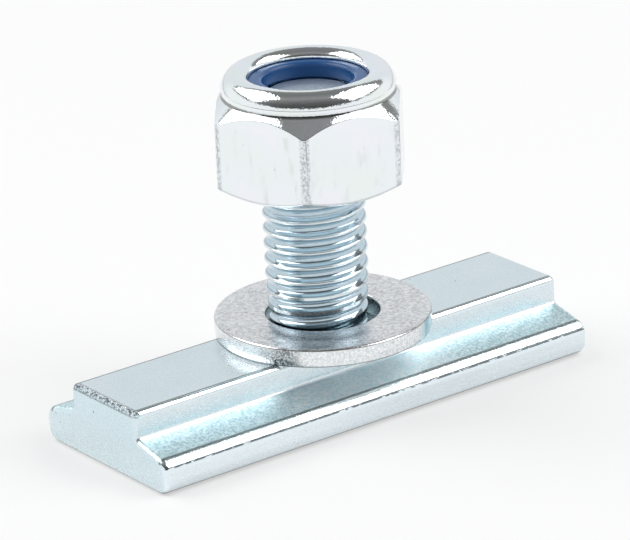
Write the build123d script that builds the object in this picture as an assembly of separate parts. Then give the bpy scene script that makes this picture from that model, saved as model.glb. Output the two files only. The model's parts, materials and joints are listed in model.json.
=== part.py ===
"""T-head bolt with its flat washer and lock nut, in millimetres.

The head is a short length of T-section bar that slides in a T-slot. A threaded
stud stands up from its middle, through the washer, to a hexagon lock nut with a
nylon insert. The origin is the middle of the bar's underside: +X runs along the
bar and +Z up the stud.
"""
from math import asin, ceil, cos, degrees, radians, tan
import os

from build123d import *

# T-section bar
bar_length = 50.0
bar_height = 6.9
head_width = 19.1
web_width = 10.2
web_rise = 2.62
shoulder_fall = 13.4
base_radius = 1.4
nose_radius = 1.25
foot_radius = 0.4
web_top_radius = 0.6
end_radius = 0.5
socket_countersink = 0.5

# stud, M10 coarse
thread_diameter = 9.8
thread_pitch = 1.5
thread_angle = 60.0
crest_share = 0.125
thread_depth_share = 0.6134
thread_start = 175.0
stud_reach = 23.5
stud_recess = 0.2
stud_tip_chamfer = 0.95
stud_foot_chamfer = 0.5
stud_fit = 0.02

# flat washer
washer_diameter = 20.6
washer_hole = 10.8
washer_thickness = 1.8
washer_edge_radius = 0.2
washer_play = 0.02

# lock nut
nut_across_flats = 17.0
nut_height = 10.85
nut_heading = 49.8
nut_corner_radius = 0.7
grip_gap = 13.2
bearing_diameter = 16.4
bearing_chamfer = 30.0
hexagon_height = 6.95
shoulder_chamfer = 45.0
neck_diameter = 15.9
neck_flare = 0.3
crown_diameter = 16.7
crown_drop = 2.5
lip_diameter = 13.6
lip_mouth_diameter = 11.1
lip_roll = 0.85
lip_depth = 0.95
nut_bore_fit = 0.08
nut_countersink = 0.45

# nylon insert
insert_diameter = 13.8
insert_height = 2.2
insert_bore = 8.5
insert_crown = 0.2
insert_edge_radius = 0.4
insert_fit = 0.05
tip_gap = 0.1

# how far a cutting tool runs past what it cuts, and how much thread it cuts at once
overcut = 1.0
groove_overcut = 0.1
turns_per_cut = 4

# places that follow from the sizes
foot_height = bar_height - web_rise
washer_top = bar_height + washer_thickness
nut_base = washer_top + grip_gap
nut_top = nut_base + nut_height
stud_top = bar_height + stud_reach
thread_radius = thread_diameter / 2
washer_offset = washer_hole / 2 - thread_radius - washer_play
insert_top = nut_top - lip_depth
insert_base = insert_top - insert_height


def revolved(*outline):
    """Solid of revolution about Z from edges in the XZ plane, closed along the axis."""
    return revolve(make_face(Wire(list(outline))), axis=Axis.Z)


def lines(*points):
    """Straight edges through (radius, height) points."""
    corners = [Vector(radius, 0, height) for radius, height in points]
    return [Edge.make_line(a, b) for a, b in zip(corners, corners[1:])]


def turned(*points):
    """Solid turned to a closed outline of (radius, height) corners."""
    return revolved(*lines(*points, points[0]))


def t_section():
    """Closed outline of the bar, square to its length."""
    half_head, half_web = head_width / 2, web_width / 2
    nose_height = foot_height - (half_head - half_web) * tan(radians(shoulder_fall))
    half = [(half_head, 0), (half_head, nose_height), (half_web, foot_height), (half_web, bar_height)]
    section = Polygon(*half, *[(-y, z) for y, z in reversed(half)], align=None)

    def corners(y, z):
        return [v for v in section.vertices() if abs(abs(v.X) - y) < 1e-6 and abs(v.Y - z) < 1e-6]

    groups = [corners(half_head, 0), corners(half_head, nose_height), corners(half_web, foot_height),
              corners(half_web, bar_height)]
    for group, radius in zip(groups, (base_radius, nose_radius, foot_radius, web_top_radius)):
        section = fillet(nearest(section, group), radius)
    return section


def nearest(sketch, marks):
    """The sketch's own vertices at the places of earlier ones."""
    return [min(sketch.vertices(), key=lambda v: (v.center() - mark.center()).length) for mark in marks]


def t_bar():
    """Head: T-section bar, cut to length, with a bored socket for the stud."""
    bar = extrude(Plane.YZ * t_section(), bar_length / 2, both=True)
    end_edges = [e for e in bar.edges() if abs(abs(e.center().X) - bar_length / 2) < 1e-6]
    upper = [e for e in end_edges if e.center().Z > base_radius / 2]
    bar = fillet(upper, end_radius)
    socket = thread_radius + stud_fit
    mouth = socket + socket_countersink
    cutter = turned((0, -overcut), (mouth + overcut, -overcut), (socket, socket_countersink),
                    (socket, bar_height + overcut), (0, bar_height + overcut))
    return bar - cutter


def threaded_rod(low, high):
    """Rod with a right-hand V groove cut along it, longer than low to high.

    The groove is cut in runs of a few turns, each run starting where the last one ends.
    """
    depth = thread_depth_share * thread_pitch
    half_slope = tan(radians(thread_angle / 2))
    half_mouth = thread_pitch * (1 - crest_share) / 2
    half_root = half_mouth - depth * half_slope
    half_wide = half_mouth + groove_overcut * half_slope
    spare = 2 * thread_pitch
    start = low - spare
    groove = Wire.make_polygon([
        Vector(thread_radius - depth, 0, start - half_root),
        Vector(thread_radius + groove_overcut, 0, start - half_wide),
        Vector(thread_radius + groove_overcut, 0, start + half_wide),
        Vector(thread_radius - depth, 0, start + half_root),
    ], close=True)
    rise = thread_pitch * turns_per_cut
    runs = ceil((high - low + 2 * spare) / rise)
    helix = Edge.make_helix(thread_pitch, rise, thread_radius, center=(0, 0, start))
    cut = Rot(0, 0, thread_start) * Solid.sweep(Face(groove), path=Wire([helix]), is_frenet=True)
    rod = Pos(0, 0, start - spare) * Cylinder(
        thread_radius, runs * rise + 2 * spare, align=(Align.CENTER, Align.CENTER, Align.MIN))
    return rod - [Pos(0, 0, run * rise) * cut for run in range(runs)]


def stud():
    """Threaded stud, chamfered at both ends, screwed into the bar's socket."""
    clear = thread_radius + overcut
    outline = turned(
        (0, stud_recess),
        (thread_radius - stud_foot_chamfer, stud_recess),
        (clear, stud_recess + stud_foot_chamfer + overcut),
        (clear, stud_top - stud_tip_chamfer - overcut),
        (thread_radius - stud_tip_chamfer, stud_top),
        (0, stud_top))
    return threaded_rod(stud_recess, stud_top) & outline


def flat_washer():
    """Punched washer, resting on the bar's web and pushed to one side of the stud."""
    ring = Cylinder(washer_diameter / 2, washer_thickness) - Cylinder(washer_hole / 2, washer_thickness)
    ring = fillet(ring.edges().filter_by(GeomType.CIRCLE).group_by(Axis.Z)[-1], washer_edge_radius)
    return Pos(washer_offset, 0, bar_height + washer_thickness / 2) * ring


def nut_outline():
    """Turned form of the nut: bearing chamfer, shoulder chamfer, neck and rolled crown."""
    corner = nut_across_flats / 2 / cos(radians(30))
    bearing, neck, lip, mouth = (size / 2 for size in (
        bearing_diameter, neck_diameter, lip_diameter, lip_mouth_diameter))
    crown_width = crown_diameter / 2 - lip
    flat_to_corner = (corner - bearing) * tan(radians(bearing_chamfer))
    corner_top = nut_base + hexagon_height
    neck_height = corner_top + (corner - neck) * tan(radians(shoulder_chamfer))
    crown_base = nut_top - crown_drop
    dome_start = asin(max(neck_height + neck_flare - crown_base, 0) / crown_drop)
    dome = ellipse_arc((lip, crown_base), crown_width, crown_drop, degrees(dome_start), 90)
    roll = ellipse_arc((lip, nut_top - lip_roll), lip - mouth, lip_roll, 90, 180)
    low = lines((0, nut_base), (bearing, nut_base), (corner, nut_base + flat_to_corner),
                (corner, corner_top), (neck, neck_height), ((dome @ 0).X, (dome @ 0).Z))
    rest = lines((mouth, nut_top - lip_roll), (0, nut_top - lip_roll), (0, nut_base))
    return revolved(*low, dome, roll, *rest)


def ellipse_arc(centre, across, up, start, end):
    """Arc of an upright ellipse in the XZ plane, turning up and inwards between two angles."""
    plane = Plane(origin=(centre[0], 0, centre[1]), x_dir=(1, 0, 0), z_dir=(0, -1, 0))
    return Edge.make_ellipse(across, up, plane, start_angle=start, end_angle=end)


def lock_nut():
    """Hexagon nut whose crown is rolled in over the nylon insert."""
    hexagon = RegularPolygon(nut_across_flats / 2, 6, major_radius=False)
    hexagon = fillet(hexagon.vertices(), nut_corner_radius)
    prism = Pos(0, 0, nut_base) * extrude(hexagon, nut_height)
    body = Rot(0, 0, nut_heading) * prism & nut_outline()
    bore = thread_radius + nut_bore_fit
    pocket = insert_diameter / 2 + insert_fit
    mouth = lip_mouth_diameter / 2
    hollow = turned(
        (0, nut_base - overcut), (bore + nut_countersink + overcut, nut_base - overcut),
        (bore, nut_base + nut_countersink), (bore, insert_base - insert_fit),
        (pocket, insert_base - insert_fit), (pocket, insert_top + insert_fit),
        (mouth, insert_top + insert_fit), (mouth, nut_top + overcut), (0, nut_top + overcut))
    return body - hollow


def nylon_insert():
    """Locking ring, domed inside the rolled mouth and already formed round the stud's tip."""
    bore, formed, outer = insert_bore / 2, thread_radius + nut_bore_fit, insert_diameter / 2
    free = lip_mouth_diameter / 2 - insert_fit
    cone_top = max(stud_top + tip_gap, insert_base + tip_gap)
    cone_base = max(cone_top - (formed - bore), insert_base)
    ring = turned((bore, cone_top), (formed, cone_base), (formed, insert_base), (outer, insert_base),
                  (outer, insert_top), (free, insert_top), (bore, insert_top + insert_crown))
    inner_top = ring.edges().filter_by(GeomType.CIRCLE).group_by(Axis.Z)[-1].sort_by(SortBy.RADIUS)[0]
    return fillet(inner_top, insert_edge_radius)


nodes = {
    "t_bar": t_bar,
    "stud": stud,
    "flat_washer": flat_washer,
    "lock_nut": lock_nut,
    "nylon_insert": nylon_insert,
}

os.makedirs("parts", exist_ok=True)
for name, build in nodes.items():
    export_step(build(), f"parts/{name}.step")
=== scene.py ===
import json
from math import asin, cos, degrees, pi, radians, sin, tan, tau

import bpy
from mathutils import Matrix, Vector


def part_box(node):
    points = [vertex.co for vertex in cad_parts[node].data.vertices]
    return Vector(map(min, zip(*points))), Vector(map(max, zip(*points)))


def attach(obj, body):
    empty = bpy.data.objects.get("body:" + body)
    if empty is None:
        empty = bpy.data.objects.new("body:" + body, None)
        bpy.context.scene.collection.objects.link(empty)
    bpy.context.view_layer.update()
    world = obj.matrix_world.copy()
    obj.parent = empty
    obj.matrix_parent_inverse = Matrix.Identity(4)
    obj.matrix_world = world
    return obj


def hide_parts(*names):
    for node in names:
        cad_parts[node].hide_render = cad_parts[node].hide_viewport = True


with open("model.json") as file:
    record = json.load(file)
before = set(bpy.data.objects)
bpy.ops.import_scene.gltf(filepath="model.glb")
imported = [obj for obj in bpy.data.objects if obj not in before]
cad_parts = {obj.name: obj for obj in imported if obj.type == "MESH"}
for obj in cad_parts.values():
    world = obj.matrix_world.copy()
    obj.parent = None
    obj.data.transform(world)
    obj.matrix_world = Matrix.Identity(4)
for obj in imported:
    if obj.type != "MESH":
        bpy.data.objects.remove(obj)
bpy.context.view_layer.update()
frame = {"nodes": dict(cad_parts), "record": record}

# points nearer than MERGE are one, and FIT is the clearance between two pieces
MM = 0.001
MERGE = 0.0005 * MM
FIT = 0.05 * MM

# camera: its heading, drop and roll in degrees, and the place on the stud that it looks at
VIEW_HEADING = 36.498
VIEW_DROP = 20.777
VIEW_ROLL = -2.68
VIEW_DISTANCE = 387.75 * MM
VIEW_TARGET = Vector((0, 0.27, 12.7)) * MM
LENS = 235.6
SENSOR = 36.0

# walls of the studio: how high they reach, and the headings between which they grow higher
WALL_IN_FRONT = sin(radians(20))
WALL_BEHIND = sin(radians(44))
WALL_RISES = radians(125), radians(150)
WALL_FADE = 0.015
WALL_TONE = (0.95, 0.96, 0.97)
WALL_TONE_BEHIND = (0.80, 0.83, 0.85)

# greys of the ceiling, by degrees from the horizon in front, up and over to the one behind
CEILING_GREYS = {20: 0.05, 42: 0.125, 65: 0.28, 90: 0.185, 135: 0.24}

# floor: its matte grey, and how much of it glows white instead, for the camera and in reflections
FLOOR_TONE = 0.9
FLOOR_SIZE = 6.0
FLOOR_GAP = 0.02 * MM
WHITE_TO_CAMERA = 0.5
WHITE_TO_METAL = 0.38

# soft boxes: headings and height in degrees, sizes in metres
BOX_HEADINGS = {"left box": -100, "right box": 88}
BOX_HEIGHT = 46
BOX_DISTANCE = 0.6
BOX_WIDTH = 0.55
BOX_TALL = 0.40
BOX_WATTS = 2.2

# bar: where its web, its shoulders and its noses lie, and where the painted dark lines and the
# painted shade round the stud's foot lie on them
WEB_SIDE = 5.1 * MM
WEB_ROUND = 0.6 * MM
WEB_PAINTED_LINE = 4.56 * MM
FOOT_SHADE = 5.7 * MM
SHOULDER_END = 8.6 * MM
NOSE_START = 8.35 * MM
NOSE_PAINTED_LINE = 8.70 * MM
NOSE_HEIGHT = 2.9 * MM
NOSE_PAINTED_BAND = 2.72 * MM

# thread of the stud
PITCH = frame["record"]["behaviour"]["couplings"][0]["ratio"] * tau
THREAD_DEPTH = 0.64 * MM
FLANK = radians(30)
CREST_FLAT = PITCH / 8
CREST_HEIGHT = 0.221 * MM
TIP_CHAMFER = 0.95 * MM
FOOT_CHAMFER = 0.5 * MM
FOOT_RADIUS = 4.55 * MM
FOOT_TAPER = 6.0 * MM
SPARE_TURNS = 2

# radii at which the look of the thread changes: painted shade in the roots, a painted dark line
# and a painted highlight at the crests
ROOT_SHADE = 4.28 * MM
CREST_PAINTED_LINE = 4.70 * MM
CREST_SHINE = 4.76 * MM

# washer: its hole, its rolled edges, the height over which its side is sheared, and the
# headings of the marks on its side, in radians
WASHER_HOLE = 5.4 * MM
WASHER_ROLL = 0.28 * MM
WASHER_SHEAR = 0.6 * MM
SHEAR_ROUND = 1.0 * MM
BRUISE_HEADING = -2.47
STREAK_HEADING = -0.95
WORN_FROM = -1.3, -0.9
WORN_TO = -0.5, -0.2

# nut: radii, and heights above its base or below its top
NUT_HEADING = 49.8
NUT_FLATS = 17.0 * MM
NUT_CORNER = NUT_FLATS / 2 / cos(radians(30))
NUT_CORNER_ROUND = 0.404 * MM
NUT_CORNER_START = 9.5 * MM
NUT_BEARING = 8.2 * MM
NUT_HEXAGON = 6.95 * MM
NUT_NECK = 8.0 * MM
NECK_ROUND = 0.7 * MM
NECK_FLARE = 0.3 * MM
CREVICE_DROP = 2.08 * MM
CROWN_WIDTH = 8.35 * MM
CROWN_DROP = 2.5 * MM
LIP_RADIUS = 6.8 * MM
LIP_MOUTH = 5.55 * MM
LIP_ROLL = 0.85 * MM
LIP_DEPTH = 0.95 * MM
NUT_BORE = 4.98 * MM
NUT_POCKET = 6.95 * MM
COUNTERSINK = 0.45 * MM
EDGE_ROUND = 0.08 * MM
BEARING_SLOPE = tan(radians(30))

# nylon insert
INSERT_BORE = 4.25 * MM
INSERT_CROWN = 0.2 * MM
INSERT_ROUND = 0.4 * MM
TIP_GAP = 0.1 * MM

# edges flatter than the first are shaded smooth, and those sharper than the second are bevelled
SMOOTH_UNDER = radians(35)
SOFTENED_OVER = radians(28)

# how many steps go round each turned piece
STUD_STEPS = 96
WASHER_STEPS = 160
NUT_STEPS = 120


class Wire:
    """A shader socket that arithmetic works on: each operation adds a Math node."""

    def __init__(self, shader, socket):
        self.shader, self.socket = shader, socket

    def math(self, operation, *others):
        return self.shader.math(operation, self, *others)

    def __add__(self, other):
        return self.math("ADD", other)

    def __radd__(self, other):
        return self.math("ADD", other) if other else self

    def __sub__(self, other):
        return self.math("SUBTRACT", other)

    def __rsub__(self, other):
        return self.shader.math("SUBTRACT", other, self)

    def __mul__(self, other):
        return self.math("MULTIPLY", other)

    def __rmul__(self, other):
        return self.math("MULTIPLY", other)

    def __truediv__(self, other):
        return self.math("DIVIDE", other)

    def __pow__(self, other):
        return self.math("POWER", other)

    def __abs__(self):
        return self.math("ABSOLUTE")


class Shader:
    """The node tree of one material or world, built by adding one node at a time."""

    def __init__(self, block):
        block.use_nodes = True
        self.block, self.tree = block, block.node_tree
        self.tree.nodes.clear()

    def add(self, kind, settings=None, sockets=None, output=0):
        """Adds a node: its settings first, then its sockets' values or links; gives one output."""
        node = self.tree.nodes.new(kind)
        for name, value in (settings or {}).items():
            if name == "stops":
                self.set_stops(node.color_ramp, value)
            else:
                setattr(node, name, value)
        for name, value in (sockets or {}).items():
            if isinstance(value, Wire):
                self.tree.links.new(value.socket, node.inputs[name])
            else:
                node.inputs[name].default_value = value
        return Wire(self, node.outputs[output]) if node.outputs else None

    @staticmethod
    def set_stops(ramp, stops):
        while len(ramp.elements) < len(stops):
            ramp.elements.new(1.0)
        for element, (place, colour) in zip(ramp.elements, stops):
            element.position = place
            element.color = (*colour, 1.0)

    def math(self, operation, *values):
        sockets = dict(enumerate(values))
        return self.add("ShaderNodeMath", {"operation": operation}, sockets)

    def coords(self, output="Object"):
        return self.add("ShaderNodeTexCoord", output=output)

    def axes(self, vector):
        split = self.add("ShaderNodeSeparateXYZ", sockets={0: vector}).socket.node
        return [Wire(self, socket) for socket in split.outputs]

    def join(self, x, y, z):
        return self.add("ShaderNodeCombineXYZ", sockets={0: x, 1: y, 2: z})

    def stretch(self, vector, scale, turn=0.0):
        """Turns a pattern about Z, then stretches it: a scale under 1 makes it longer."""
        if turn:
            turned_by = {"Vector": vector, "Rotation": (0, 0, turn)}
            vector = self.add("ShaderNodeMapping", sockets=turned_by)
        return self.add("ShaderNodeMapping", sockets={"Vector": vector, "Scale": scale})

    def noise(self, vector, size, detail=2.0, roughness=0.5, seed=0.0, distortion=0.0):
        """Noise from 0 to 1 whose blotches are about size metres across."""
        sockets = {"Vector": vector, "W": seed, "Scale": 1 / size, "Detail": detail,
                   "Roughness": roughness, "Distortion": distortion}
        return self.add("ShaderNodeTexNoise", {"noise_dimensions": "4D"}, sockets)

    def cells(self, vector, size):
        """A number from 0 to 1 for each of the small cells of a crystalline coat."""
        settings = {"voronoi_dimensions": "4D"}
        sockets = {"Vector": vector, "W": 0.0, "Scale": 1 / size}
        colour = self.add("ShaderNodeTexVoronoi", settings, sockets, output="Color")
        return self.axes(colour)[0]

    def ramp(self, value, stops):
        return self.add("ShaderNodeValToRGB", {"stops": stops}, {0: value})

    def step(self, value, low, high, to_low=0.0, to_high=1.0):
        """Smooth change from to_low to to_high as value goes from low to high."""
        sockets = {0: value, 1: low, 2: high, 3: to_low, 4: to_high}
        return self.add("ShaderNodeMapRange", {"interpolation_type": "SMOOTHSTEP"}, sockets)

    def fall(self, value, low, high):
        """1 up to the low value, fading to 0 at the high one."""
        return self.step(value, low, high, 1.0, 0.0)

    def band(self, value, middle, half_width, edge):
        """1 within half a width of the middle, fading to 0 over the edge."""
        return self.fall(abs(value - middle), half_width, half_width + edge)

    def blend(self, share, first, second):
        sockets = {0: share, 6: self.colour(first), 7: self.colour(second)}
        return self.add("ShaderNodeMix", {"data_type": "RGBA"}, sockets, output=2)

    def coats(self, colour, *layers):
        """Lays other colours over a colour, one after another, each by its own share."""
        for share, layer in layers:
            colour = self.blend(share, colour, layer)
        return colour

    @staticmethod
    def colour(value):
        return value if isinstance(value, Wire) else (*value, 1.0)

    def bump(self, height):
        """Relief from a height in millimetres."""
        sockets = {"Height": height, "Distance": MM, "Strength": 1.0}
        return self.add("ShaderNodeBump", sockets=sockets)

    def finish(self, shader):
        """Sends a shader to the tree's output, and gives the material or world."""
        block = "World" if isinstance(self.block, bpy.types.World) else "Material"
        self.add("ShaderNodeOutput" + block, sockets={"Surface": shader})
        return self.block

    def surface(self, colour, roughness, height, metallic):
        """Finishes a material with one coat all over, and relief from a height in millimetres."""
        sockets = {"Base Color": colour, "Metallic": metallic, "Roughness": roughness,
                   "Normal": self.bump(height)}
        return self.finish(self.add("ShaderNodeBsdfPrincipled", sockets=sockets))


def material(name):
    return Shader(bpy.data.materials.new(name))


def from_axis(x, y):
    """Distance from an upright axis."""
    return (x * x + y * y) ** 0.5


# ---------------------------------------------------------------- studio

def camera():
    """Long lens, turned and tilted about the place that it looks at."""
    data = bpy.data.cameras.new("camera")
    data.lens, data.sensor_width = LENS, SENSOR
    data.clip_start, data.clip_end = 0.01, 20.0
    view = bpy.data.objects.new("camera", data)
    bpy.context.scene.collection.objects.link(view)
    turn = (Matrix.Rotation(radians(-VIEW_HEADING), 4, "Z")
            @ Matrix.Rotation(radians(90 - VIEW_DROP), 4, "X")
            @ Matrix.Rotation(radians(VIEW_ROLL), 4, "Z"))
    away = turn.to_3x3() @ Vector((0, 0, VIEW_DISTANCE))
    view.matrix_world = Matrix.Translation(VIEW_TARGET + away) @ turn
    bpy.context.scene.camera = view


def direction(heading, height):
    """Unit vector at a heading from the camera's side, and at an angle above the floor."""
    side = Matrix.Rotation(radians(-VIEW_HEADING + heading), 3, "Z") @ Vector((0, -1, 0))
    up = Vector((0, 0, 1))
    return side * cos(radians(height)) + up * sin(radians(height))


def soft_box(name, heading):
    """Rectangular lamp that faces the bolt."""
    data = bpy.data.lights.new(name, "AREA")
    data.shape, data.size, data.size_y = "RECTANGLE", BOX_WIDTH, BOX_TALL
    data.energy = BOX_WATTS
    lamp = bpy.data.objects.new(name, data)
    bpy.context.scene.collection.objects.link(lamp)
    toward = direction(heading, BOX_HEIGHT)
    lamp.location = toward * BOX_DISTANCE + VIEW_TARGET
    lamp.rotation_euler = toward.to_track_quat("Z", "Y").to_euler()


def studio_world():
    """White walls all round, higher behind the object, under a ceiling that is dim in front."""
    world = bpy.data.worlds.new("studio")
    bpy.context.scene.world = world
    s = Shader(world)
    x, y, z = s.axes(s.coords("Generated"))
    front, side = direction(0, 0), direction(90, 0)
    toward = x * front.x + y * front.y
    around = abs((x * side.x + y * side.y).math("ARCTAN2", toward))
    behind = s.step(around, *WALL_RISES)
    edge = behind * (WALL_BEHIND - WALL_IN_FRONT) + WALL_IN_FRONT
    greys = [(angle / 180, (grey,) * 3) for angle, grey in CEILING_GREYS.items()]
    ceiling = s.ramp(z.math("ARCTAN2", toward) / pi, greys)
    wall = s.blend(behind, WALL_TONE, WALL_TONE_BEHIND)
    tone = s.blend(s.step(z - edge, -WALL_FADE, WALL_FADE), wall, ceiling)
    room = s.add("ShaderNodeBackground", sockets={"Color": tone, "Strength": 1.0})
    white = s.add("ShaderNodeBackground", sockets={"Color": (1, 1, 1, 1), "Strength": 1.0})
    seen = s.add("ShaderNodeLightPath", output="Is Camera Ray")
    s.finish(s.add("ShaderNodeMixShader", sockets={0: seen, 1: room, 2: white}))


def floor():
    """Matte floor, part of which glows white, just under the bar so that the two don't meet."""
    bpy.ops.object.select_all(action="DESELECT")
    bpy.ops.mesh.primitive_plane_add(size=FLOOR_SIZE, location=(0, 0, -FLOOR_GAP))
    plane = bpy.context.active_object
    plane.name = "floor"
    s = material("floor")
    matte = s.add("ShaderNodeBsdfDiffuse", sockets={"Color": s.colour((FLOOR_TONE,) * 3)})
    glow = s.add("ShaderNodeEmission", sockets={"Color": (1, 1, 1, 1), "Strength": 1.0})
    seen = s.add("ShaderNodeLightPath", output="Is Camera Ray")
    mirrored = s.add("ShaderNodeLightPath", output="Is Glossy Ray")
    share = seen * WHITE_TO_CAMERA + mirrored * WHITE_TO_METAL
    mixed = s.add("ShaderNodeMixShader", sockets={0: share, 1: matte, 2: glow})
    plane.data.materials.append(s.finish(mixed))


# ---------------------------------------------------------------- modelling

def pick(piece):
    """Leaves a piece alone selected, and active."""
    bpy.ops.object.select_all(action="DESELECT")
    piece.select_set(True)
    bpy.context.view_layer.objects.active = piece


def draw(name, points):
    """Edges in the XZ plane: a vertex, extruded from point to point. Stays in edit mode."""
    bpy.ops.object.select_all(action="DESELECT")
    bpy.ops.mesh.primitive_plane_add(size=MM)
    piece = bpy.context.active_object
    piece.name = piece.data.name = name
    bpy.ops.object.mode_set(mode="EDIT")
    bpy.ops.mesh.select_mode(type="VERT")
    bpy.ops.mesh.merge(type="CENTER")
    place = Vector((0, 0, 0))
    for count, (radius, height) in enumerate(points):
        step = Vector((radius, 0, height)) - place
        if count == 0:
            bpy.ops.transform.translate(value=step)
        else:
            bpy.ops.mesh.extrude_region_move(TRANSFORM_OT_translate={"value": step})
        place += step
    return piece


def close_shell():
    """Merges the seams of the piece being edited and turns its faces outwards."""
    bpy.ops.mesh.select_all(action="SELECT")
    bpy.ops.mesh.remove_doubles(threshold=MERGE)
    bpy.ops.mesh.normals_make_consistent(inside=False)
    bpy.ops.object.mode_set(mode="OBJECT")


def turned(name, points, steps, centre=0.0):
    """Round piece: the outline spun a full turn about an upright axis through a place on X."""
    piece = draw(name, [(centre + radius, height) for radius, height in points])
    bpy.ops.mesh.select_all(action="SELECT")
    bpy.ops.mesh.spin(steps=steps, angle=tau, center=(centre, 0, 0), axis=(0, 0, 1))
    close_shell()
    return piece


def rounded(before, corner, after, radius, steps=4):
    """Points of the arc that rounds off one corner of an outline."""
    corner = Vector(corner)
    back = (Vector(before) - corner).normalized()
    on = (Vector(after) - corner).normalized()
    half = back.angle(on) / 2
    centre = corner + (back + on).normalized() * radius / sin(half)
    first = (corner + back * radius / tan(half) - centre).normalized()
    last = (corner + on * radius / tan(half) - centre).normalized()
    return [tuple(centre + first.slerp(last, step / steps) * radius) for step in range(steps + 1)]


def outline(*corners):
    """Closed outline from corners of radius, height and, where it is rounded, rounding."""
    points = []
    for number, corner in enumerate(corners):
        before, after = corners[number - 1], corners[(number + 1) % len(corners)]
        if len(corner) > 2:
            points += rounded(before[:2], corner[:2], after[:2], corner[2])
        else:
            points.append(corner)
    return points + points[:1]


def arc(centre, across, up, start, end, steps):
    """Points along an arc of an upright ellipse, between two angles in degrees."""
    turns = [radians(start + (end - start) * step / steps) for step in range(steps + 1)]
    return [(centre[0] + across * cos(turn), centre[1] + up * sin(turn)) for turn in turns]


def select_edges(piece, wanted):
    """In edit mode, leaves only the edges selected whose two ends pass a test."""
    bpy.ops.mesh.select_mode(type="EDGE")
    bpy.ops.mesh.select_all(action="DESELECT")
    bpy.ops.object.mode_set(mode="OBJECT")
    points = piece.data.vertices
    for edge in piece.data.edges:
        edge.select = wanted(*(points[end].co for end in edge.vertices))
    bpy.ops.object.mode_set(mode="EDIT")


def apply(piece, kind, **settings):
    """Adds a modifier, sets it up and applies it."""
    pick(piece)
    modifier = piece.modifiers.new(kind.lower(), kind)
    for name, value in settings.items():
        setattr(modifier, name, value)
    bpy.ops.object.modifier_apply(modifier=modifier.name)


def keep_common(piece, other):
    """Leaves what two solids share, in the first one's place."""
    apply(piece, "BOOLEAN", operation="INTERSECT", solver="EXACT", object=other)
    bpy.data.objects.remove(other)


def smooth(piece):
    """Shades a piece smooth, but for its sharp edges."""
    pick(piece)
    bpy.ops.object.shade_smooth_by_angle(angle=SMOOTH_UNDER)


def dress(piece, node, body, finish):
    """Puts a modelled piece in a CAD node's place."""
    piece.data.materials.clear()
    piece.data.materials.append(finish)
    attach(piece, body)
    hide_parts(node)


# ---------------------------------------------------------------- pieces

def thread_turn(radius, start):
    """One pitch of the thread's outline, from crest to crest, with rounded crest and root."""
    root_flat = PITCH - CREST_FLAT - 2 * THREAD_DEPTH * tan(FLANK)
    crest_round = CREST_FLAT / 2 / tan(FLANK)
    root_round = root_flat / 2 / tan(FLANK)
    swing = 90 - degrees(FLANK)
    root = radius - THREAD_DEPTH
    crest = (radius - crest_round, start)
    next_crest = (radius - crest_round, start + PITCH)
    valley = (root + root_round, start + PITCH / 2)
    return (arc(crest, crest_round, crest_round, 0, swing, 4)
            + arc(valley, -root_round, -root_round, swing, -swing, 8)
            + arc(next_crest, crest_round, crest_round, -swing, 0, 4))


def threaded_rod(radius, low, high):
    """Thread along a rod: one pitch of outline screwed upwards, then cut off flat at both ends."""
    start = CREST_HEIGHT - SPARE_TURNS * PITCH
    turns = int((high - start) / PITCH) + SPARE_TURNS + 1
    rod = draw("threaded_stud", thread_turn(radius, start))
    bpy.ops.object.mode_set(mode="OBJECT")
    apply(rod, "SCREW", steps=STUD_STEPS, render_steps=STUD_STEPS, screw_offset=PITCH,
          iterations=turns, use_merge_vertices=True, merge_threshold=MERGE,
          use_smooth_shade=True)
    bpy.ops.object.mode_set(mode="EDIT")
    bpy.ops.mesh.select_all(action="SELECT")
    bpy.ops.mesh.remove_doubles(threshold=MERGE)
    for height, above in ((low, False), (high, True)):
        bpy.ops.mesh.select_all(action="SELECT")
        bpy.ops.mesh.bisect(plane_co=(0, 0, height), plane_no=(0, 0, 1), use_fill=True,
                            threshold=MERGE, clear_outer=above, clear_inner=not above)
    close_shell()
    return rod


def stud_piece():
    """Rolled thread, chamfered at its tip and foot, and a little thinner just over the bar."""
    low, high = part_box("stud")
    radius, clear = high.x, high.x + MM
    rod = threaded_rod(radius, low.z - PITCH / 4, high.z + PITCH / 4)
    bar_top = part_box("t_bar")[1].z
    ends = turned("stud_ends", [
        (0, low.z), (radius - FOOT_CHAMFER, low.z), (radius + FIT, low.z + FOOT_CHAMFER + FIT),
        (radius + FIT, bar_top - MM), (FOOT_RADIUS, bar_top), (radius, bar_top + FOOT_TAPER),
        (clear, bar_top + FOOT_TAPER), (clear, high.z - TIP_CHAMFER - MM),
        (radius - TIP_CHAMFER, high.z), (0, high.z)], STUD_STEPS)
    keep_common(rod, ends)
    smooth(rod)
    return rod


def washer_piece():
    """Punched ring: both upper edges rolled in, the side sheared a little narrower below."""
    low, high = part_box("flat_washer")
    centre, rim = (low.x + high.x) / 2, (high.x - low.x) / 2
    ring = turned("punched_washer", outline(
        (WASHER_HOLE, low.z, FIT), (rim - FIT, low.z, FIT),
        (rim, low.z + WASHER_SHEAR, SHEAR_ROUND),
        (rim, high.z, WASHER_ROLL), (WASHER_HOLE, high.z, WASHER_ROLL)), WASHER_STEPS, centre)
    smooth(ring)
    return ring


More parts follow.
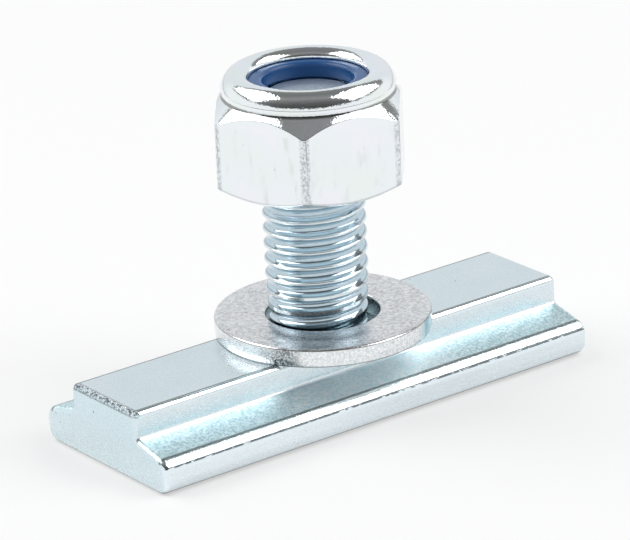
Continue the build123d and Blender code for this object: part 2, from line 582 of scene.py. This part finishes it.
def nut_form():
    """The lathe's share of the nut: chamfers, neck, rolled crown, bore and insert's groove."""
    low, high = (corner.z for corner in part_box("lock_nut"))
    clear = NUT_CORNER + 0.3 * MM
    bearing_top = low + (clear - NUT_BEARING) * BEARING_SLOPE
    chamfer_base = low + NUT_HEXAGON + NUT_CORNER - clear
    neck_base = low + NUT_HEXAGON + NUT_CORNER - NUT_NECK
    neck = (NUT_NECK + NECK_ROUND, neck_base + NECK_ROUND * tan(radians(22.5)))
    dome = (LIP_RADIUS, high - CROWN_DROP)
    dome_start = degrees(asin((neck[1] + NECK_FLARE - dome[1]) / CROWN_DROP))
    lip = (LIP_RADIUS, high - LIP_ROLL)
    groove_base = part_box("nylon_insert")[0].z - FIT
    groove_top = high - LIP_DEPTH + FIT
    # up the outside to the hollow neck, over the crown, into its mouth and down the bore
    return turned("nut_form", outline(
        (NUT_BORE + COUNTERSINK, low), (NUT_BEARING, low, EDGE_ROUND),
        (clear, bearing_top), (clear, chamfer_base),
        *arc(neck, -NECK_ROUND, NECK_ROUND, -45, 22, 10),
        *arc(dome, CROWN_WIDTH - LIP_RADIUS, CROWN_DROP, dome_start, 90, 18),
        *arc(lip, LIP_MOUTH - LIP_RADIUS, LIP_ROLL, 84, 0, 14),
        (LIP_MOUTH, groove_top), (NUT_POCKET, groove_top), (NUT_POCKET, groove_base),
        (NUT_BORE, groove_base), (NUT_BORE, low + COUNTERSINK)), NUT_STEPS)


def nut_piece():
    """Hexagon bar with rounded corners, kept only inside the turned form, its edges softened."""
    low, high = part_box("lock_nut")
    bpy.ops.object.select_all(action="DESELECT")
    bpy.ops.mesh.primitive_cylinder_add(
        vertices=6, radius=NUT_CORNER, depth=high.z - low.z + 2 * MM,
        location=(0, 0, (low.z + high.z) / 2), rotation=(0, 0, radians(NUT_HEADING - 30)))
    nut = bpy.context.active_object
    nut.name = nut.data.name = "hexagon_nut"
    bpy.ops.object.transform_apply(location=True, rotation=True, scale=True)
    bpy.ops.object.mode_set(mode="EDIT")
    select_edges(nut, lambda one, other: abs(one.z - other.z) > MM)
    bpy.ops.mesh.bevel(offset=NUT_CORNER_ROUND, segments=4, affect="EDGES")
    bpy.ops.object.mode_set(mode="OBJECT")
    keep_common(nut, nut_form())
    apply(nut, "BEVEL", width=EDGE_ROUND, segments=2, limit_method="ANGLE",
          angle_limit=SOFTENED_OVER, use_clamp_overlap=False)
    smooth(nut)
    apply(nut, "WEIGHTED_NORMAL", keep_sharp=True)
    return nut


def insert_piece():
    """Nylon ring, domed inside the crown's mouth and already formed round the stud's tip."""
    low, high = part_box("nylon_insert")
    rim, top = high.x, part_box("lock_nut")[1].z - LIP_DEPTH
    cone_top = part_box("stud")[1].z + TIP_GAP
    cone_base = cone_top - NUT_BORE + INSERT_BORE
    ring = turned("nylon_ring", outline(
        (INSERT_BORE, cone_top), (NUT_BORE, cone_base), (NUT_BORE, low.z), (rim, low.z),
        (rim, top), (LIP_MOUTH - FIT, top), (INSERT_BORE, top + INSERT_CROWN, INSERT_ROUND)),
        NUT_STEPS)
    smooth(ring)
    return ring


# ---------------------------------------------------------------- finishes

# colours of the bar: two where a texture blends them, and from low to high at the cut ends;
# the lighter sides, brighter crystals, dark lines, dark foot and dark bottom are painted light and
# shade
SATIN = (0.74, 0.84, 0.88), (0.84, 0.91, 0.94)
SATIN_SIDE_PAINTED_LIGHT = (0.88, 0.95, 0.99)
CUT_END = (0.84, 0.95, 0.98), (0.70, 0.84, 0.90)
CRYSTALS = (0.44, 0.62, 0.68), (0.82, 0.96, 0.98)
PAINTED_LIGHT_CRYSTALS = (0.74, 0.92, 0.96), (1.0, 1.0, 1.0)
BAR_FROST = (0.35, 0.45, 0.50)
BAR_FOOT_PAINTED_SHADE = (0.30, 0.40, 0.43)
BAR_PIT_AND_PAINTED_BAND = (0.20, 0.24, 0.26)
BAR_PAINTED_LINE = (0.20, 0.21, 0.19)
BAR_PAINTED_CONTACT_SHADE = (0.20, 0.21, 0.20)


def bar_finish():
    """Rolled bar: satin faces, crystalline shoulders, the marks of rolling and cutting, and
    painted light and shade: lighter sides, brighter middle crystals, dark edge lines, a dark foot
    and bottom.
    """
    s = material("satin zinc bar")
    place = s.coords()
    x, y, z = s.axes(place)
    side = abs(y)
    low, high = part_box("t_bar")

    # grain of the metal
    grain = s.noise(s.stretch(place, (0.3, 1, 1)), 0.22 * MM, detail=3)
    cloud = s.noise(place, 3 * MM, detail=4, seed=2)
    crystal = s.cells(place, 0.2 * MM)
    glitter = s.noise(place, 0.2 * MM, detail=1, seed=5)
    frost = s.noise(place, 0.14 * MM, detail=2, seed=14)
    ragged = s.noise(place, 0.3 * MM, detail=3, roughness=0.65, seed=12)
    uneven = s.noise(s.stretch(place, (0.4, 1, 1)), 0.3 * MM, seed=3)

    # where its surfaces differ
    ends = s.step(abs(x), high.x - 0.3 * MM, high.x - 0.1 * MM)
    # the middle of the bar, where the shoulders' crystals are painted brighter: painted light
    middle = s.fall(abs(x), 5 * MM, 13 * MM)
    shoulder = (s.step(side, WEB_SIDE, WEB_SIDE + 0.5 * MM)
                * s.fall(side, SHOULDER_END, SHOULDER_END + 0.6 * MM)
                * s.step(z, MM, 2 * MM) * (1 - ends))
    web_edge = (s.step(side, WEB_SIDE - WEB_ROUND, WEB_SIDE - WEB_ROUND + 0.1 * MM)
                * s.step(z, high.z - 0.65 * MM, high.z - 0.55 * MM))
    nose = (s.step(side, NOSE_START, NOSE_START + 0.15 * MM)
            * s.band(z, NOSE_HEIGHT, 0.5 * MM, 0.1 * MM))
    # painted shade: the top of the bar is darker round the stud's foot
    foot = (s.fall(from_axis(x, y), FOOT_SHADE, FOOT_SHADE + 0.4 * MM)
            * s.step(z, high.z - 0.2 * MM, high.z - 0.1 * MM))
    # painted shade: the bar is darker along its bottom, where it meets the floor
    under = s.fall(z + ends * 0.18 * MM, 0.3 * MM, 0.5 * MM)

    # marks: the torn top edge at one end and pits, and painted dark reflections: a broken line
    # along the noses and the lines where flat faces turn over
    torn = (s.fall(x, low.x + 0.4 * MM, low.x + 0.65 * MM)
            * s.step(z, high.z - 0.55 * MM, high.z - 0.35 * MM))
    painted_nose_band = (s.band(z, NOSE_PAINTED_BAND, 0.04 * MM, 0.06 * MM)
            * s.step(side, high.y - 0.4 * MM, high.y - 0.2 * MM) * s.step(uneven, 0.36, 0.50))
    painted_web_line = (s.band(side + uneven * 0.06 * MM, WEB_PAINTED_LINE, 0.06 * MM, 0.09 * MM)
                * s.step(z, high.z - 0.1 * MM, high.z - 0.05 * MM))
    painted_nose_line = (s.band(side + uneven * 0.14 * MM, NOSE_PAINTED_LINE, 0.08 * MM, 0.14 * MM)
                 * s.step(z, NOSE_HEIGHT, NOSE_HEIGHT + 0.2 * MM))
    pits = s.step(s.noise(place, 0.45 * MM, detail=1, seed=8), 0.76, 0.80)
    pits_and_painted_band = s.step(painted_nose_band + pits + torn * s.step(ragged, 0.5, 0.56), 0, 1)

    end_tone = s.blend(s.step(z, MM, 4 * MM) * 0.5 + cloud * 0.5, *CUT_END)
    # the outer sides are painted lighter than the top: painted light
    satin = s.coats(
        s.blend(cloud, *SATIN), (ends, end_tone), (s.fall(frost, 0.3, 0.7) * 0.14, BAR_FROST),
        (s.step(side, high.y - 0.65 * MM, high.y - 0.35 * MM) * 0.5, SATIN_SIDE_PAINTED_LIGHT))
    # near the middle the crystals take lighter colours: painted light
    crystals_with_painted_light = s.blend(middle * 0.8, s.blend(crystal, *CRYSTALS),
                      s.blend(crystal, *PAINTED_LIGHT_CRYSTALS))
    colour = s.coats(
        satin, (shoulder, crystals_with_painted_light), (foot, BAR_FOOT_PAINTED_SHADE), (pits_and_painted_band, BAR_PIT_AND_PAINTED_BAND),
        ((painted_web_line + painted_nose_line) * 0.8, BAR_PAINTED_LINE), (under * 0.9, BAR_PAINTED_CONTACT_SHADE))
    roughness = 0.23 + grain * 0.08 + shoulder * 0.22 - (web_edge + nose) * 0.19
    height = (grain * 0.006 + frost * 0.004 + cloud * 0.02 + shoulder * glitter * 0.045
              + torn * ragged * 0.5 + ends * glitter * 0.01)
    return s.surface(colour, roughness, height, metallic=1.0)


# colours of the stud
GLOSSY = (0.50, 0.64, 0.72), (0.70, 0.82, 0.89)
SAWN_TIP = (0.42, 0.54, 0.64), (0.84, 0.91, 0.96)
THREAD_ROOT_PAINTED_SHADE = (0.26, 0.33, 0.37)
CREST_PAINTED_DARK_LINE = (0.22, 0.23, 0.22)
CREST_PAINTED_HIGHLIGHT = (0.93, 0.93, 0.90)


def stud_finish():
    """Glossy thread: dull roots painted darker, crests with a painted highlight and a painted dark
    line under them, a rough sawn tip.
    """
    s = material("glossy zinc stud")
    place = s.coords()
    x, y, z = s.axes(place)
    radius = from_axis(x, y)
    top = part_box("stud")[1].z
    grain = s.noise(place, 0.3 * MM, detail=3)
    around = s.join(y.math("ARCTAN2", x) * MM, radius * 0.3, z)
    rays = s.noise(around, 0.12 * MM, detail=2, seed=4)

    tip = s.step(z, top - 0.06 * MM, top - 0.03 * MM)
    thread = 1 - tip
    # the roots are rougher, and painted darker: painted shade
    root = s.fall(radius, ROOT_SHADE, ROOT_SHADE + 0.22 * MM) * thread
    # a painted dark reflection line under each crest, and a painted highlight on its top
    painted_crest_line = (s.band(radius, CREST_PAINTED_LINE, 0.03 * MM, 0.05 * MM) * thread
                  * s.step(grain, 0.3, 0.5))
    painted_crest_highlight = s.step(radius, CREST_SHINE, CREST_SHINE + 0.06 * MM) * thread

    colour = s.coats(
        s.blend(grain, *GLOSSY), (root * 0.25, THREAD_ROOT_PAINTED_SHADE), (painted_crest_line * 0.5, CREST_PAINTED_DARK_LINE),
        (painted_crest_highlight * 0.5, CREST_PAINTED_HIGHLIGHT), (tip, s.blend(rays, *SAWN_TIP)))
    roughness = 0.07 + grain * 0.08 + tip * 0.35 + root * 0.10
    return s.surface(colour, roughness, grain * 0.004 + tip * rays * 0.05, metallic=1.0)


# colours of the washer
TUMBLED = (0.60, 0.60, 0.61), (0.94, 0.93, 0.94)
SHEARED_SIDE = (0.64, 0.69, 0.72), (0.97, 0.98, 0.98)
SCRATCH = (0.36, 0.35, 0.38)
BRUISE = (0.18, 0.20, 0.20)
HOLE_PAINTED_SHADE = (0.34, 0.40, 0.42)
WORN_SIDE = (0.42, 0.50, 0.53)
STREAK = (0.28, 0.40, 0.45)
RIM_PAINTED_LINE = (0.26, 0.24, 0.21)
WASHER_PAINTED_CONTACT_SHADE = (0.16, 0.19, 0.20)


def washer_finish():
    """Tumbled top with short scratches, a sheared and speckled side, painted shade inside the hole
    and where the side meets the bar, a painted dark line along the rim.
    """
    s = material("tumbled zinc washer")
    place = s.coords()
    x, y, z = s.axes(place)
    low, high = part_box("flat_washer")
    across, rim = x - (low.x + high.x) / 2, high.y
    radius, heading = from_axis(across, y), y.math("ARCTAN2", across)

    scuff = s.noise(place, 0.4 * MM, detail=5, roughness=0.7, distortion=0.6)
    speck = s.noise(place, 0.22 * MM, detail=3, seed=9)
    worn = s.noise(place, 3 * MM, detail=2, seed=6)

    top = s.step(z, high.z - 0.12 * MM, high.z - 0.04 * MM)
    side = s.step(radius, rim - 0.2 * MM, rim - 0.1 * MM) * (1 - top)
    # painted shade: the wall of the hole is darker
    inside = s.fall(radius, WASHER_HOLE + 0.02 * MM, WASHER_HOLE + 0.12 * MM)
    rolled = s.step(radius, rim - WASHER_ROLL, rim - 0.6 * WASHER_ROLL)

    scratches = [s.noise(s.stretch(place, (0.25, 1, 1), turn), 0.15 * MM, detail=1, seed=seed,
                         distortion=0.4) for turn, seed in ((-0.35, 3), (0.7, 5))]
    scratch = (sum(s.step(lines, 0.62, 0.70) for lines in scratches)
               * s.step(worn, 0.40, 0.58) * top)
    bruise = (side * s.band(heading + worn * 0.2, BRUISE_HEADING, 0.05, 0.13)
              * s.step(speck, 0.44, 0.52))
    streak = side * s.band(heading + speck * 0.06, STREAK_HEADING, 0.04, 0.05)
    worn_side = side * s.step(heading, *WORN_FROM) * s.fall(heading, *WORN_TO)
    # a painted dark reflection line along the top of the side
    painted_rim_line = (s.band(z + speck * 0.05 * MM, high.z - 0.14 * MM, 0.03 * MM, 0.04 * MM)
                * s.step(radius, rim - 0.2 * MM, rim - 0.12 * MM))
    # painted shade: the side is darker at its bottom, where it meets the bar
    painted_washer_contact_shade = s.fall(z, low.z + 0.06 * MM, low.z + 0.16 * MM) * side

    colour = s.coats(
        s.blend(s.step(scuff, 0.35, 0.65), *TUMBLED),
        (side, s.blend(s.step(speck, 0.3, 0.7), *SHEARED_SIDE)),
        (scratch * 0.8, SCRATCH), (bruise * 0.85, BRUISE), (inside, HOLE_PAINTED_SHADE),
        (worn_side * 0.45, WORN_SIDE), (streak * 0.8, STREAK), (painted_rim_line * 0.7, RIM_PAINTED_LINE),
        (painted_washer_contact_shade * 0.8, WASHER_PAINTED_CONTACT_SHADE))
    roughness = 0.2 + top * 0.04 + scratch * 0.15 - rolled * 0.1
    height = scuff * 0.012 + side * speck * 0.03 + bruise * 0.05
    return s.surface(colour, roughness, height, metallic=1.0)


# colours of the nut; its tints by the noise that picks them
TINTS = [(0.3, (0.86, 0.91, 0.88)), (0.5, (0.87, 0.91, 0.94)), (0.7, (0.92, 0.90, 0.96))]
DOTTED_CORNER = (0.50, 0.54, 0.57), (0.80, 0.84, 0.87)
SMUDGE = (0.74, 0.77, 0.78)
NUT_PIT = (0.50, 0.53, 0.56)
CREVICE_PAINTED_SHADE = (0.20, 0.20, 0.19)
LOWER_EDGE_PAINTED_SHADE = (0.45, 0.47, 0.47)


def nut_finish():
    """Bright faces with faint smudges and rainbow tints, dotted corners, a mirror-like crown,
    painted shade in the neck's hollow and along the lower edge.
    """
    s = material("bright zinc nut")
    place = s.coords()
    x, y, z = s.axes(place)
    low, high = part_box("lock_nut")
    radius = from_axis(x, y)

    smudge = s.noise(s.stretch(place, (1, 1, 0.3)), 0.9 * MM, detail=3)
    tint = s.noise(place, 5 * MM, detail=1, seed=7)
    dots = s.noise(place, 0.25 * MM, detail=2, seed=2)

    hexagon = s.fall(z, low.z + NUT_HEXAGON, low.z + NUT_HEXAGON + 0.3 * MM)
    corner = s.step(radius, NUT_CORNER_START, NUT_CORNER_START + 0.14 * MM) * hexagon
    pits = s.step(s.noise(place, 0.5 * MM, detail=1, seed=11), 0.75, 0.80) * hexagon
    # painted shade: a dark line in the hollow of the neck
    painted_crevice_shade = (s.band(z + dots * 0.12 * MM, high.z - CREVICE_DROP, 0.08 * MM, 0.1 * MM)
               * s.fall(radius, CROWN_WIDTH - 0.15 * MM, CROWN_WIDTH + 0.05 * MM))
    # painted shade: a grey line where the flats turn into the bearing chamfer
    over_chamfer = z - (low.z + (radius - NUT_BEARING) * BEARING_SLOPE)
    painted_lower_edge_shade = (s.band(over_chamfer, 0.09 * MM, 0.05 * MM, 0.08 * MM)
                  * s.step(radius, NUT_BEARING, NUT_BEARING + 0.1 * MM))

    colour = s.coats(
        s.ramp(tint, TINTS), (s.step(smudge, 0.55, 0.8) * hexagon, SMUDGE),
        (corner, s.blend(s.step(dots, 0.35, 0.6), *DOTTED_CORNER)), (pits, NUT_PIT),
        (painted_crevice_shade * 0.8, CREVICE_PAINTED_SHADE), (painted_lower_edge_shade * 0.45, LOWER_EDGE_PAINTED_SHADE))
    roughness = 0.07 + hexagon * 0.08 + smudge * hexagon * 0.1
    height = smudge * 0.006 + dots * (0.014 + corner * 0.03 - hexagon * 0.012)
    return s.surface(colour, roughness, height, metallic=1.0)


# colours of the nylon
NYLON = (0.008, 0.062, 0.20), (0.012, 0.09, 0.28)


def nylon_finish():
    """Smooth satin blue, faintly clouded."""
    s = material("blue nylon")
    place = s.coords()
    cloud = s.noise(place, 1.5 * MM, detail=3)
    grain = s.noise(place, 0.2 * MM, detail=2, seed=1)
    return s.surface(s.blend(cloud, *NYLON), 0.26 + cloud * 0.1, grain * 0.006, metallic=0.0)


# ---------------------------------------------------------------- the whole bolt

finishes = {
    "t_bar": bar_finish(),
    "stud": stud_finish(),
    "flat_washer": washer_finish(),
    "lock_nut": nut_finish(),
    "nylon_insert": nylon_finish(),
}

for node, finish in finishes.items():
    piece = frame["nodes"][node]
    piece.data.materials.clear()
    piece.data.materials.append(finish)

dress(stud_piece(), "stud", "bolt", finishes["stud"])
dress(washer_piece(), "flat_washer", "bolt", finishes["flat_washer"])
dress(nut_piece(), "lock_nut", "nut", finishes["lock_nut"])
dress(insert_piece(), "nylon_insert", "insert", finishes["nylon_insert"])

camera()
studio_world()
floor()
for name, heading in BOX_HEADINGS.items():
    soft_box(name, heading)
bpy.context.scene.view_settings.view_transform = "Standard"
